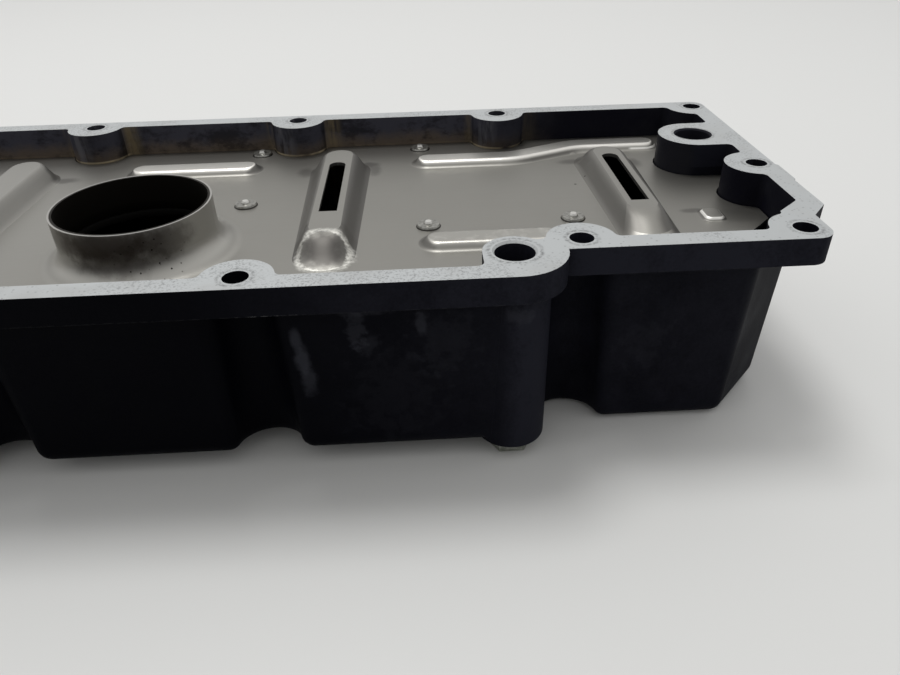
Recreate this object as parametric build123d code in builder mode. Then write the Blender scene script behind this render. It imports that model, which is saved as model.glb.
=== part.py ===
"""Cast engine oil pan with a riveted sheet baffle.

Z is up. The origin is the centre of the rectangle round the pan, on the plane that the pan stands on.
X runs along the pan and Y across it; the "far" side is +Y and the "near" side is -Y.
The near side steps in towards both ends, where the floor is deeper than in the middle bay.
"""

import os
from math import atan, degrees, radians, sqrt, tan

from build123d import *

os.makedirs("parts", exist_ok=True)

# ---------------------------------------------------------------- overall sizes
pan_length = 410.4
pan_width = 143.0
pan_depth = 65.5
middle_rise = 5.5  # the middle bay's floor is this much higher than the end sumps
flange_thickness = 8.2
land_width = 6.6  # gasket land between the outer edge and the opening
floor_thickness = 4.5
wall_reach = 2.5  # outer wall stands this far outside the opening, under the flange
root_reach = 1.4  # extra reach of the cast root just under the flange
root_height = 2.6
ledge_width = 1.8  # shelf that carries the baffle
draft_angle = 2.5
bay_edge_radius = 5.0  # rounding between the walls and the floor outside
bay_corner_radius = 5.6  # upright outer edges of the bays
well_edge_radius = 2.4
well_corner_radius = 5.0
opening_corner_radius = 2.0

# Insets are measured inwards from the end edge, the near edge or the far edge of the flange.
half_length = pan_length / 2
half_width = pan_width / 2

# ---------------------------------------------------------------- ends and ears
corner_radius = 4.5
ear_setback = 6.0  # the ear's end edge is this far inside the flange's end edge
ear_corner_radius = 5.5
near_step = 13.9  # the near edge steps in by this much beside the passage columns
notch_top_inset = 35.5
notch_foot_inset = 28.5
ear_cut_inset = 39.2
ear_cut_run = 8.0
ear_cut_drop = 7.2
slant_run = 20.4  # outside, the walls cut the corner under the ear on a slant
slant_drop = 21.8

# ---------------------------------------------------------------- bolts and passages
bolt_hole_diameter = 6.8
bolt_inset = 6.2
bolt_end_inset = 5.2
near_left_shift = 3.0  # the left one of the two near bolts stands this much nearer the middle
far_boss_radius = 10.4
near_boss_radius = 9.7
ear_bolt_insets = [(74.6, 20.2), (12.4, 20.9)]
end_bolt_inset = 5.5
end_bolt_y = -0.7
end_boss_radius = 10.3
passage_inset = 93.6
passage_diameter = 11.0
passage_land_radius = 14.3
passage_boss_radius = 8.7
column_radius = 10.3
column_blend = 1.0  # outside, the walls stop this far from the column's axis
stud_end_inset = 16.3
stud_far_inset = 40.5
stud_bore_diameter = 12.5
stud_boss_radius = 12.4
bore_chamfer = 0.6
pry_lug_y = -8.5
pry_lug_length = 14.4
pry_lug_reach = 1.4
pry_lug_height = 7.7

# ---------------------------------------------------------------- baffle
sheet = 1.2
baffle_depth = 11.2  # from the gasket face down to the baffle's upper face
baffle_gap = 0.5  # clearance between the baffle's edge and the walls
collar_x = 2.5
collar_near_inset = 47.9
collar_radius = 22.9
collar_flare = 6.7
collar_stand = 4.0  # the rim stands this far above the gasket face
hood_rise = 5.7
hood_near_radius = 9.4
hood_far_radius = 11.2
crown_radius = 4.9
# pressed slope of a hood, as (share of the way from foot to crown, share of the rise)
hood_profile = [(-0.08, -0.03), (0.08, 0.03), (0.22, 0.13), (0.4, 0.36)]
hood_profile += [(0.6, 0.66), (0.78, 0.88), (0.92, 0.98), (1, 1)]
inner_hood_share = 0.725  # place of the inner hoods, as a share of the bolt pitch
outer_hood_inset = 47.7
# ends of a hood's foot, its crown and its slot, each as (near inset, far inset)
inner_foot = (38.0, 35.5)
inner_crown = (47.3, 32.8)
inner_slot = (57.9, 41.0)
outer_foot = (39.9, 37.7)
outer_crown = (54.9, 40.0)
outer_slot = (57.0, 42.5)
slot_width = 5.8
bead_width = 12.0
bead_rise = 2.2
bead_slope = 45.0
bead_round = 2.2
middle_bead_length = 50.0
middle_bead_inset = 29.9
joggle_start_inset = 113.9
joggle_from_inset = 81.2
joggle_to_inset = 56.2
joggle_end_inset = 28.2
joggle_low_inset = 29.7
joggle_high_inset = 18.9
joggle_bend = 24.0
near_bead_end_inset = 96.2
near_bead_near_inset = 43.5
near_bead_length = 44.6
dimple_end_inset = 24.2
dimple_near_inset = 55.0
dimple_length = 7.4
dimple_width = 9.2
dimple_rise = 1.1
dimple_radius = 2.6
dimple_round = 1.0
drain_corner_end_inset = 6.7
drain_corner_near_inset = 52.0
drain_corner_run = 12.0

# ---------------------------------------------------------------- fasteners
middle_rivet = (27.7, 7.2)
near_rivet_insets = [(115.6, 56.0), (68.8, 57.6)]
far_rivet_insets = [(116.9, 13.2)]
odd_rivet_x = 25.2  # this far rivet has no twin in the left half
rivet_head_radius = 4.0
rivet_head_height = 0.9
rivet_dome_radius = 1.6
rivet_dome_height = 0.9
rivet_head_slope = 30.0
rivet_dome_slope = 35.0
rivet_shank_radius = 1.9
rivet_shank_length = 9.0
rivet_hole_gap = 0.1
post_radius = 5.6
plug_flats = 13.0
plug_head_height = 5.5
plug_thread_radius = 5.0
plug_thread_length = 12.0
plug_edge_chamfer = 0.7
plug_end_gap = 0.5
plug_spot_radius = 8.4
drain_inset = 47.2
drain_y = 14.0
drain_boss_radius = 15.0
drain_boss_height = 13.0
drain_recess_radius = 12.5
drain_recess_depth = 6.5
drain_thread_radius = 7.0
drain_thread_length = 7.5
drain_head_radius = 10.5
drain_head_height = 4.5
drain_head_round = 0.8
drain_socket_flats = 8.0
drain_socket_depth = 3.2
washer_radius = 11.0
washer_thickness = 1.5
washer_gap = 0.1

# ---------------------------------------------------------------- derived places
flange_under = pan_depth - flange_thickness
baffle_top = pan_depth - baffle_depth
baffle_under = baffle_top - sheet
ear_x = half_length - ear_setback
ear_near_y = near_step - half_width
bolt_pitch = (pan_length - 2 * bolt_end_inset) / 5
bolt_row_y = half_width - bolt_inset
near_bolts = [(bolt_pitch / 2, -bolt_row_y), (near_left_shift - bolt_pitch / 2, -bolt_row_y)]
far_bolts = [(step * bolt_pitch, bolt_row_y) for step in (0.5, 1.5, 2.5)]
ear_bolts = [(half_length - end, near - half_width) for end, near in ear_bolt_insets]
end_bolt = (half_length - end_bolt_inset, end_bolt_y)
passage = (half_length - passage_inset, passage_land_radius - half_width)
stud_bore = (half_length - stud_end_inset, half_width - stud_far_inset)
sump_step_x = passage[0]
collar_y = collar_near_inset - half_width
inner_hood_x = inner_hood_share * bolt_pitch
outer_hood_x = half_length - outer_hood_inset
drain_axis = (drain_inset - half_length, drain_y)
near_rivets = [(half_length - end, near - half_width) for end, near in near_rivet_insets]
far_rivets = [(half_length - end, half_width - far) for end, far in far_rivet_insets]
odd_rivet = (odd_rivet_x, half_width - far_rivet_insets[0][1])


def both_sides(places):
    """The places given for the right half, with their mirror images in the left half."""
    return [(side * x, y) for x, y in places for side in (1, -1)]


def flange_outline():
    """Outer edge of the gasket flange."""
    with BuildSketch() as outline:
        with BuildLine():
            Polyline(
                (0, half_width),
                (half_length, half_width),
                (half_length, notch_top_inset - half_width),
                (ear_x, notch_foot_inset - half_width),
                (ear_x, ear_near_y),
                (passage[0], ear_near_y),
                (passage[0], -half_width),
                (0, -half_width),
                close=True,
            )
        make_face()
        corners = outline.vertices().group_by(Axis.X)[-1]
        fillet(corners.sort_by(Axis.Y)[-1:], corner_radius)
        fillet(outline.vertices().sort_by_distance((ear_x, ear_near_y))[:1], ear_corner_radius)
        with Locations(passage):
            Circle(passage_land_radius)
        mirror(about=Plane.YZ)
    return outline.sketch


def opening(grow, rounding, outside=False):
    """The pan's mouth, grown outwards by an amount, with its bosses shrunk by the same amount.

    The walls, the cavity and the baffle's edge all come from this one shape. Outside, the walls
    cut the corner under the ear on a slant and run on into the passage's column.
    """
    passage_x, passage_y = passage
    stud_x, stud_y = stud_bore
    end_x = half_length - land_width + grow
    far_y = half_width - land_width + grow
    ear_y = ear_near_y + land_width - grow
    slope = ear_cut_drop / ear_cut_run
    cut_y = ear_cut_inset - half_width - grow * (sqrt(1 + slope**2) - slope)
    passage_boss = column_blend if outside else passage_boss_radius - grow
    stud_boss = stud_boss_radius - grow
    if outside:
        ear_corner = [(end_x, ear_y + slant_drop), (end_x - slant_run, ear_y)]
    else:
        cut_x = end_x - ear_cut_run
        ear_corner = [(end_x, cut_y), (cut_x, cut_y - ear_cut_drop), (cut_x, ear_y)]
    with BuildSketch() as mouth:
        with BuildLine():
            Polyline(
                (0, far_y),
                (end_x, far_y),
                *ear_corner,
                (passage_x, ear_y),
                (passage_x, passage_y),
                (passage_x - passage_boss, passage_y),
                (passage_x - passage_boss, -far_y),
                (0, -far_y),
                close=True,
            )
        make_face()
        with Locations(*far_bolts):
            Circle(far_boss_radius - grow, mode=Mode.SUBTRACT)
        with Locations(*(ear_bolts[:1] if outside else ear_bolts)):
            Circle(near_boss_radius - grow, mode=Mode.SUBTRACT)
        with Locations(end_bolt):
            Circle(end_boss_radius - grow, mode=Mode.SUBTRACT)
        with Locations(passage):
            Circle(passage_boss, mode=Mode.SUBTRACT)
        with Locations(stud_bore):
            Circle(stud_boss, mode=Mode.SUBTRACT)
        with Locations((stud_x + stud_boss_radius, stud_y)):
            Rectangle(2 * stud_boss_radius, 2 * stud_boss, mode=Mode.SUBTRACT)
        mirror(about=Plane.YZ)
        with Locations(*near_bolts):
            Circle(near_boss_radius - grow, mode=Mode.SUBTRACT)
        offset(amount=-rounding, kind=Kind.ARC)
        offset(amount=rounding, kind=Kind.ARC)
    return mouth.sketch


def bay_block(outline, edge_radius, top, bottom, step_x, middle):
    """A drafted block under an outline, kept in the middle bay or in the two end sumps only.

    The two are parted by planes that slope inwards and upwards from step_x at the foot.
    """
    with BuildPart() as block:
        with BuildSketch(Plane.XY.offset(top)):
            add(outline)
        extrude(amount=bottom - top, taper=draft_angle)
        fillet(block.faces().sort_by(Axis.Z)[0].edges(), edge_radius)
        with BuildSketch(Plane.XZ):
            with BuildLine():
                Polyline(
                    (-step_x - 1, -1),
                    (step_x + 1, -1),
                    (step_x - top, top),
                    (top - step_x, top),
                    close=True,
                )
            make_face()
        extrude(amount=pan_width, both=True, mode=Mode.INTERSECT if middle else Mode.SUBTRACT)
    return block.part


# ---------------------------------------------------------------- pan casting
rivets = both_sides([middle_rivet] + near_rivets + far_rivets) + [odd_rivet]
middle_rivets = [place for place in rivets if abs(place[0]) < sump_step_x]
end_rivets = [place for place in rivets if abs(place[0]) >= sump_step_x]
bolts = near_bolts + both_sides(far_bolts + ear_bolts + [end_bolt])
passages = both_sides([passage])
stud_bores = both_sides([stud_bore])
floor_middle = middle_rise + floor_thickness
well_step_x = sump_step_x + floor_thickness * sqrt(2)
bay_outline = opening(wall_reach, bay_corner_radius, outside=True)
well_outline = opening(-ledge_width, well_corner_radius)

with BuildPart() as pan_casting:
    # bays from the flange down, the end ones deeper
    add(bay_block(bay_outline, bay_edge_radius, flange_under, middle_rise, sump_step_x, True))
    add(bay_block(bay_outline, bay_edge_radius, flange_under, 0, sump_step_x, False))

    # cast root under the flange
    with BuildSketch(Plane.XY.offset(flange_under)):
        add(opening(wall_reach + root_reach, bay_corner_radius, outside=True))
    extrude(amount=-root_height, taper=degrees(atan(root_reach / root_height)))

    # gasket flange
    with BuildSketch(Plane.XY.offset(flange_under)):
        add(flange_outline())
    extrude(amount=flange_thickness)

    # columns of the passages
    with BuildSketch(Plane.XY.offset(middle_rise)):
        with Locations(*passages):
            Circle(column_radius)
    extrude(amount=flange_under - middle_rise)

    # mouth and wells
    with BuildSketch(Plane.XY.offset(baffle_under)):
        add(opening(0, opening_corner_radius))
    extrude(amount=pan_depth - baffle_under, mode=Mode.SUBTRACT)
    well = (well_outline, well_edge_radius, baffle_under)
    add(bay_block(*well, floor_middle, well_step_x, True), mode=Mode.SUBTRACT)
    add(bay_block(*well, floor_thickness, well_step_x, False), mode=Mode.SUBTRACT)

    # posts under the baffle's rivets, and the boss round the drain
    for foot_z, places in ((middle_rise, middle_rivets), (0, end_rivets)):
        with BuildSketch(Plane.XY.offset(foot_z + floor_thickness / 2)):
            with Locations(*places):
                Circle(post_radius)
        extrude(amount=baffle_under - foot_z - floor_thickness / 2)
    with BuildSketch(Plane.XY.offset(floor_thickness / 2)):
        with Locations(drain_axis):
            Circle(drain_boss_radius)
    extrude(amount=drain_boss_height - floor_thickness / 2)

    # pry lugs on the end edges
    with BuildSketch(Plane.XY.offset(flange_under)):
        with Locations(*both_sides([(half_length - pry_lug_reach, pry_lug_y)])):
            RectangleRounded(4 * pry_lug_reach, pry_lug_length, pry_lug_reach)
    extrude(amount=pry_lug_height)

    # bolt holes and stud bores through the flange
    with BuildSketch(Plane.XY.offset(flange_under)):
        with Locations(*bolts):
            Circle(bolt_hole_diameter / 2)
        with Locations(*stud_bores):
            Circle(stud_bore_diameter / 2)
    extrude(amount=flange_thickness, mode=Mode.SUBTRACT)

    # passages down the columns, threaded at the foot for their plugs
    with BuildSketch(Plane.XY.offset(pan_depth)):
        with Locations(*passages):
            Circle(passage_diameter / 2)
    extrude(amount=middle_rise + plug_thread_length - pan_depth, mode=Mode.SUBTRACT)
    with BuildSketch(Plane.XY.offset(middle_rise)):
        with Locations(*passages):
            Circle(plug_thread_radius)
    extrude(amount=plug_thread_length, mode=Mode.SUBTRACT)
    mouths = pan_casting.edges().filter_by(GeomType.CIRCLE).filter_by_position(Axis.Z, pan_depth, pan_depth)
    chamfer(mouths.filter_by(lambda e: e.is_closed and 2 * e.radius > bolt_hole_diameter), bore_chamfer)

    # blind holes for the rivets
    with BuildSketch(Plane.XY.offset(baffle_under)):
        with Locations(*rivets):
            Circle(rivet_shank_radius)
    extrude(amount=sheet - rivet_shank_length, mode=Mode.SUBTRACT)

    # room round the heads of the passages' plugs
    with BuildSketch():
        with Locations(*passages):
            Circle(plug_spot_radius)
    extrude(amount=middle_rise, mode=Mode.SUBTRACT)

    # drain, with its recess in the underside
    with BuildSketch():
        with Locations(drain_axis):
            Circle(drain_recess_radius)
    extrude(amount=drain_recess_depth, mode=Mode.SUBTRACT)
    with BuildSketch():
        with Locations(drain_axis):
            Circle(drain_thread_radius)
    extrude(amount=drain_boss_height, mode=Mode.SUBTRACT)


# ---------------------------------------------------------------- baffle plate
def joggled_bead(width):
    """Plan outline of the long bead that steps towards the far wall."""
    low_y = half_width - joggle_low_inset
    high_y = half_width - joggle_high_inset
    with BuildSketch() as outline:
        with BuildLine() as spine:
            FilletPolyline(
                (half_length - joggle_start_inset, low_y),
                (half_length - joggle_from_inset, low_y),
                (half_length - joggle_to_inset, high_y),
                (half_length - joggle_end_inset, high_y),
                radius=joggle_bend,
            )
        SlotArc(arc=spine.wires()[0], height=width)
    return outline.sketch


def bead_outlines(loss):
    """Plan outlines of all the beads, each narrower and shorter by an amount."""
    width = bead_width - loss
    with BuildSketch() as outlines:
        add(joggled_bead(width))
        with Locations((half_length - near_bead_end_inset, near_bead_near_inset - half_width)):
            SlotOverall(near_bead_length - loss, width)
        mirror(about=Plane.YZ)
        with Locations((collar_x, half_width - middle_bead_inset)):
            SlotOverall(middle_bead_length - loss, width)
    return outlines.sketch


def dimple_outlines(loss):
    """Plan outlines of the two small oblong dimples, smaller by an amount."""
    with BuildSketch() as outlines:
        with Locations(*both_sides([(half_length - dimple_end_inset, dimple_near_inset - half_width)])):
            RectangleRounded(dimple_length - loss, dimple_width - loss, dimple_radius - loss / 2)
    return outlines.sketch


def hood(x, foot, crown, wall, loss):
    """The raised hood over a slot; its inside form is one wall lower and smaller by the loss."""
    with BuildPart() as form:
        for step, level in hood_profile:
            near_y = foot[0] + step * (crown[0] - foot[0]) - half_width
            far_y = half_width - foot[1] - step * (crown[1] - foot[1])
            with BuildSketch(Plane.XY.offset(baffle_top - wall + level * hood_rise)):
                with Locations((x, near_y)):
                    Circle(hood_near_radius + step * (crown_radius - hood_near_radius) - loss)
                with Locations((x, far_y)):
                    Circle(hood_far_radius + step * (crown_radius - hood_far_radius) - loss)
                make_hull()
        loft()
    return form.part


flank_loss = 2 * sheet * tan(radians(bead_slope / 2))
hood_loss = sheet / 2
hoods = [(side * inner_hood_x, inner_foot, inner_crown) for side in (1, -1)]
hoods += [(side * outer_hood_x, outer_foot, outer_crown) for side in (1, -1)]
slots = [(inner_hood_x, inner_slot), (outer_hood_x, outer_slot), (-outer_hood_x, outer_slot)]
corner_x = half_length - drain_corner_end_inset
corner_y = drain_corner_near_inset - half_width
collar_plane = Plane(origin=(collar_x, collar_y, 0), x_dir=(1, 0, 0), z_dir=(0, -1, 0))
flare_foot = collar_radius + collar_flare
neck_z = baffle_top + collar_flare
rim_z = pan_depth + collar_stand

with BuildPart() as baffle_plate:
    # flat sheet that follows the walls, cut off at its near corners so that oil drains there
    with BuildSketch(Plane.XY.offset(baffle_under)):
        add(opening(-baffle_gap, opening_corner_radius))
        for side in (1, -1):
            with BuildLine():
                Polyline(
                    (side * corner_x, corner_y),
                    (side * (corner_x - drain_corner_run), corner_y - drain_corner_run),
                    (side * (corner_x - drain_corner_run), -pan_width),
                    (side * pan_length, -pan_width),
                    (side * pan_length, corner_y),
                    close=True,
                )
            make_face(mode=Mode.SUBTRACT)
    extrude(amount=sheet)

    # pressed beads and dimples with rounded feet and crests, hollow from below
    pressings = ((bead_outlines, bead_rise, bead_round), (dimple_outlines, dimple_rise, dimple_round))
    for outlines, rise, rounding in pressings:
        with BuildSketch(Plane.XY.offset(baffle_top)):
            add(outlines(0))
        extrude(amount=rise, taper=bead_slope)
        pressed = baffle_plate.edges(Select.LAST)
        crests = pressed.filter_by_position(Axis.Z, baffle_top + rise, baffle_top + rise)
        feet = pressed.filter_by_position(Axis.Z, baffle_top, baffle_top)
        fillet(crests + feet, rounding)
    for outlines, rise, rounding in pressings:
        with BuildSketch(Plane.XY.offset(baffle_under)):
            add(outlines(flank_loss))
        extrude(amount=rise, taper=bead_slope, mode=Mode.SUBTRACT)

    # hoods, all but one with a slot along the crown
    for x, foot, crown in hoods:
        add(hood(x, foot, crown, 0, 0))
    for x, foot, crown in hoods:
        add(hood(x, foot, crown, sheet, hood_loss), mode=Mode.SUBTRACT)
    with BuildSketch(Plane.XY.offset(baffle_top)):
        for x, (near, far) in slots:
            slot_near_y = near - half_width
            slot_far_y = half_width - far - slot_width / 2
            with Locations((x, slot_far_y)):
                Circle(slot_width / 2)
            with Locations((x, (slot_near_y + slot_far_y) / 2)):
                Rectangle(slot_width, slot_far_y - slot_near_y)
    extrude(amount=2 * hood_rise, mode=Mode.SUBTRACT)

    # drawn collar
    with Locations((collar_x, collar_y, baffle_under)):
        Cylinder(flare_foot, sheet, align=(Align.CENTER, Align.CENTER, Align.MIN), mode=Mode.SUBTRACT)
    with BuildSketch(collar_plane) as collar_section:
        with BuildLine():
            inner_radius = collar_radius - sheet
            Polyline(
                (inner_radius, neck_z),
                (inner_radius, rim_z),
                (collar_radius, rim_z),
                (collar_radius, neck_z),
            )
            RadiusArc((collar_radius, neck_z), (flare_foot, baffle_top), -collar_flare)
            Line((flare_foot, baffle_top), (flare_foot, baffle_under))
            RadiusArc((flare_foot, baffle_under), (inner_radius, neck_z), collar_flare + sheet)
        make_face()
    revolve(axis=Axis((collar_x, collar_y, 0), (0, 0, 1)))

    # rivet holes
    with BuildSketch(Plane.XY.offset(baffle_under)):
        with Locations(*rivets):
            Circle(rivet_shank_radius + rivet_hole_gap)
    extrude(amount=sheet, mode=Mode.SUBTRACT)


# ---------------------------------------------------------------- rivets
with BuildPart() as baffle_rivets:
    with BuildSketch(Plane.XY.offset(baffle_top)):
        with Locations(*rivets):
            Circle(rivet_head_radius)
    extrude(amount=rivet_head_height, taper=rivet_head_slope)
    with BuildSketch(Plane.XY.offset(baffle_top + rivet_head_height)):
        with Locations(*rivets):
            Circle(rivet_dome_radius)
    extrude(amount=rivet_dome_height, taper=rivet_dome_slope)
    with BuildSketch(Plane.XY.offset(baffle_top)):
        with Locations(*rivets):
            Circle(rivet_shank_radius)
    extrude(amount=-rivet_shank_length)


# ---------------------------------------------------------------- plugs of the passages
with BuildPart() as passage_plugs:
    with BuildSketch(Plane.XY.offset(middle_rise - plug_head_height)):
        with Locations(*passages):
            RegularPolygon(plug_flats / 2, 6, major_radius=False)
    extrude(amount=plug_head_height)
    chamfer(passage_plugs.faces().sort_by(Axis.Z)[:2].edges(), plug_edge_chamfer)
    with BuildSketch(Plane.XY.offset(middle_rise)):
        with Locations(*passages):
            Circle(plug_thread_radius)
    extrude(amount=plug_thread_length - plug_end_gap)


# ---------------------------------------------------------------- drain plug and its washer
washer_under = drain_recess_depth - washer_thickness

with BuildPart() as drain_washer:
    with BuildSketch(Plane.XY.offset(washer_under)):
        with Locations(drain_axis):
            Circle(washer_radius)
            Circle(drain_thread_radius + washer_gap, mode=Mode.SUBTRACT)
    extrude(amount=washer_thickness)

with BuildPart() as drain_plug:
    with BuildSketch(Plane.XY.offset(washer_under - drain_head_height)):
        with Locations(drain_axis):
            Circle(drain_head_radius)
    extrude(amount=drain_head_height)
    fillet(drain_plug.faces().sort_by(Axis.Z)[0].edges(), drain_head_round)
    with BuildSketch(Plane.XY.offset(washer_under)):
        with Locations(drain_axis):
            Circle(drain_thread_radius)
    extrude(amount=drain_thread_length)
    with BuildSketch(Plane.XY.offset(washer_under - drain_head_height)):
        with Locations(drain_axis):
            RegularPolygon(drain_socket_flats / 2, 6, major_radius=False)
    extrude(amount=drain_socket_depth, mode=Mode.SUBTRACT)


# ---------------------------------------------------------------- named pieces
pan_casting.part.label = "pan_casting"
baffle_plate.part.label = "baffle_plate"
baffle_rivets.part.label = "baffle_rivets"
passage_plugs.part.label = "passage_plugs"
drain_plug.part.label = "drain_plug"
drain_washer.part.label = "drain_washer"

export_step(pan_casting.part, "parts/pan_casting.step")
export_step(baffle_plate.part, "parts/baffle_plate.step")
export_step(baffle_rivets.part, "parts/baffle_rivets.step")
export_step(passage_plugs.part, "parts/passage_plugs.step")
export_step(drain_plug.part, "parts/drain_plug.step")
export_step(drain_washer.part, "parts/drain_washer.step")
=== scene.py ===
"""Engine oil pan: the finishes, floor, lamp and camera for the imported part.

Laid out as an add-on with one operator for each group of like pieces, and run as a script.
Lengths are in metres unless a name or a comment says millimetres.
Materials read object coordinates, and plain colours are linear red, green and blue.
"""

from math import radians
from types import SimpleNamespace

import bmesh
import bpy
from mathutils import Euler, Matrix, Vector


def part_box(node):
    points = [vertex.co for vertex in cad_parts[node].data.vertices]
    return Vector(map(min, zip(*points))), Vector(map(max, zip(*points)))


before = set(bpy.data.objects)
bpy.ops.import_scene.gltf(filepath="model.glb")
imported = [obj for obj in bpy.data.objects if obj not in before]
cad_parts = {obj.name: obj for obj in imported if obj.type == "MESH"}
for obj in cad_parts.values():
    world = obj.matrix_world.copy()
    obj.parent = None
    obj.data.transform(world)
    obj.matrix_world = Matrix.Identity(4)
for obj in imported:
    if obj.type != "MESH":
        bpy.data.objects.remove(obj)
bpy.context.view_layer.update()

bl_info = {
    "name": "Engine oil pan",
    "version": (1, 0, 0),
    "blender": (4, 5, 0),
    "location": "View3D > Sidebar > Oil Pan",
    "description": "Finishes a cast engine oil pan and sets its stage",
    "category": "Object",
}

MM = 0.001

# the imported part's reach and its heights: the sheet lies lower than the flange's underside
PAN_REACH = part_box("pan_casting")[1]
FLANGE_THICKNESS = 8.2 * MM
SHEET_DROP = 3.0 * MM
FLANGE_TOP = PAN_REACH.z
FLANGE_UNDER = FLANGE_TOP - FLANGE_THICKNESS
SHEET_TOP = FLANGE_UNDER - SHEET_DROP
COLLAR_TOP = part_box("baffle_plate")[1].z

# places in the plan and radii, in millimetres; what has a twin is given at the right end only
PASSAGE = (111.6, -57.2)
PASSAGE_CHAMFER_RADIUS = 6.1
COLUMN_RADIUS = 10.3
STUD = (188.9, 31.0)
STUD_CHAMFER_RADIUS = 6.2
STUD_RIM_RADIUS = 7.2
BOLT_RADIUS = 3.4
NEAR_BOLTS = ((40.0, -65.3), (-37.0, -65.3))
TWIN_BOLTS = ((40.0, 65.3), (120.0, 65.3), (200.0, 65.3), (130.6, -51.3), (192.8, -50.6), (199.7, -0.7))
BOSS_SPACING = 80.0  # along the far side, with no boss at the middle
COLLAR = (2.5, -23.6)
COLLAR_BORE_RADIUS = 22.2
COLLAR_FOOT_RADIUS = 29.0
TOE = (58.3, -35.5)  # middle of the hood's near toe, which is painted with a bright highlight in a ring
DIMPLE_START = 170.0

# soft bands, in millimetres: where a mask climbs, and where it drops
MOUTH_DARKENS = (95.0, 150.0)  # from the pan's middle towards its ends
# the coating is lighter towards the ends: partly dust, partly painted light
DUST_AND_LIGHT_WALL = (20.0, 150.0)
DUST_AND_LIGHT_FLANGE = (10.0, 130.0)
BARE_LAND = (-0.9, -0.75)  # heights over the gasket face
POOLED_OIL_LINE = ((-0.3, 0.0), (0.4, 0.8))  # heights over the sheet
BEAD_CRESTS = ((0.9, 2.0), (2.22, 2.3))
LIP_CLIMB = (0.35, 0.65)
LIP_DROP = (1.0, 1.09)
RIVET_EDGE = (0.25, 0.60)
RIVET_CROWN = (1.15, 1.45)
RIGHT_OF_BOSS = ((9.5, 12.0), (13.0, 18.0))  # along the far wall from a boss's middle
LEFT_OF_BOSS = ((-14.0, -12.0), (-11.0, -9.5))
COLUMN_SEAM = (10.9, 11.2)  # radii round the passage
OFF_TOE = (14.0, 16.0)  # radii round the toe
SKIRT_RADII = ((9.0, 10.0), (13.0, 16.0))
RING_RADII = ((6.4, 7.6), (7.9, 9.8))
TOE_MIDDLE_RADII = (3.5, 7.2)
DRAWN_RADII = (24.5, 27.0)  # radii round the collar
FOOT_RADII = ((23.4, 25.0), (27.5, 30.0))
COLLAR_RIM_HEIGHTS = (-0.3, -0.1)  # heights over the collar's top

# soft patches, in millimetres: centre, size, raggedness, strength
SCUFFS = (
    ((52.7, -66.3, 46.5), (1.9, 6.0, 5.0), 0.40, 0.34),
    ((53.6, -66.3, 40.5), (2.6, 6.0, 6.5), 0.50, 0.40),
    ((54.6, -66.3, 33.0), (3.0, 6.0, 6.0), 0.60, 0.28),
    ((69.0, -66.3, 50.0), (3.4, 6.0, 8.0), 1.20, 0.20),
    ((72.0, -66.3, 44.0), (3.8, 6.0, 4.5), 1.20, 0.13),
    ((71.0, -67.5, 54.5), (9.0, 4.0, 1.3), 0.80, 0.16),
    ((86.0, -66.3, 50.0), (1.7, 6.0, 5.0), 0.60, 0.22),
    ((92.0, -66.3, 44.0), (9.0, 6.0, 12.0), 1.60, 0.07),
    ((78.0, -66.3, 26.0), (15.0, 6.0, 18.0), 1.60, 0.04),
    ((151.5, -52.5, 30.0), (9.0, 5.0, 10.0), 1.60, 0.06),
    ((112.0, -67.5, 51.5), (5.0, 4.0, 3.5), 0.90, 0.22),
)
# a stretch of the flange's lower edge, painted bare and bright as a highlight
FLANGE_EDGE_HIGHLIGHT = ((48.0, -71.5, 57.4), (11.0, 3.0, 1.6), 0.20, 0.80)
# brown stains on the collar, their darkness partly painted dark reflection
COLLAR_STAINS_AND_REFLECTION = (
    ((0.0, -46.5, 66.5), (21.0, 10.0, 6.8), 0.40, 0.80),
    ((16.0, -42.0, 65.5), (13.0, 10.0, 6.2), 0.45, 0.55),
    ((-13.0, -42.0, 66.0), (11.0, 10.0, 6.2), 0.40, 0.60),
    ((3.0, -47.0, 61.5), (17.0, 8.0, 5.5), 0.70, 0.38),
)
SPLASH = ((13.0, -45.0, 61.0), (15.0, 10.0, 10.0), 0.60, 1.0)
# dark patches on the sheet; those by the hoods' far corners are painted dark reflections
SHEET_SMUDGES_AND_REFLECTIONS = (
    ((0.0, 49.0, 54.3), (7.0, 3.0, 3.0), 0.30, 0.25),
    ((67.5, 42.0, 54.6), (6.5, 3.6, 2.5), 0.25, 0.70),
    ((71.0, 36.0, 54.6), (3.2, 7.0, 2.5), 0.25, 0.55),
    ((45.0, 36.5, 54.6), (4.2, 6.0, 2.5), 0.25, 0.55),
    ((-45.5, 37.5, 54.6), (7.5, 3.6, 2.5), 0.25, 0.60),
    ((146.0, 37.0, 54.6), (7.0, 3.4, 2.5), 0.25, 0.60),
    ((168.5, 33.5, 54.6), (4.0, 6.5, 2.5), 0.25, 0.60),
    ((176.5, -12.0, 54.3), (5.5, 2.2, 2.0), 0.30, 0.60),
    ((190.0, -17.0, 54.3), (11.0, 7.0, 3.0), 0.40, 0.25),
    ((118.0, 40.0, 54.3), (9.0, 1.8, 2.0), 0.30, 0.35),
)

# colours of the marks on the casting, and of its painted highlights and reflections
BARE_METAL = (0.30, 0.30, 0.30)
SOOT = (0.010, 0.009, 0.010)
DRIED_OIL = (0.21, 0.165, 0.095)
# painted reflections on the far wall's bosses
BOSS_REFLECTION_STREAK = (0.16, 0.16, 0.175)
# oil pooled at the sheet's edge, painted bright as a highlight
POOLED_OIL_GLINT = (0.62, 0.52, 0.34)
END_WALL_DARK = (0.006, 0.006, 0.010)
END_WALL_PALE = (0.016, 0.016, 0.020)
RUBBED_FACE = (0.42, 0.42, 0.41)
PORE = (0.20, 0.20, 0.20)
CRAZED_FACE = (0.26, 0.265, 0.265)
GASKET_RING = (0.13, 0.13, 0.13)
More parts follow.
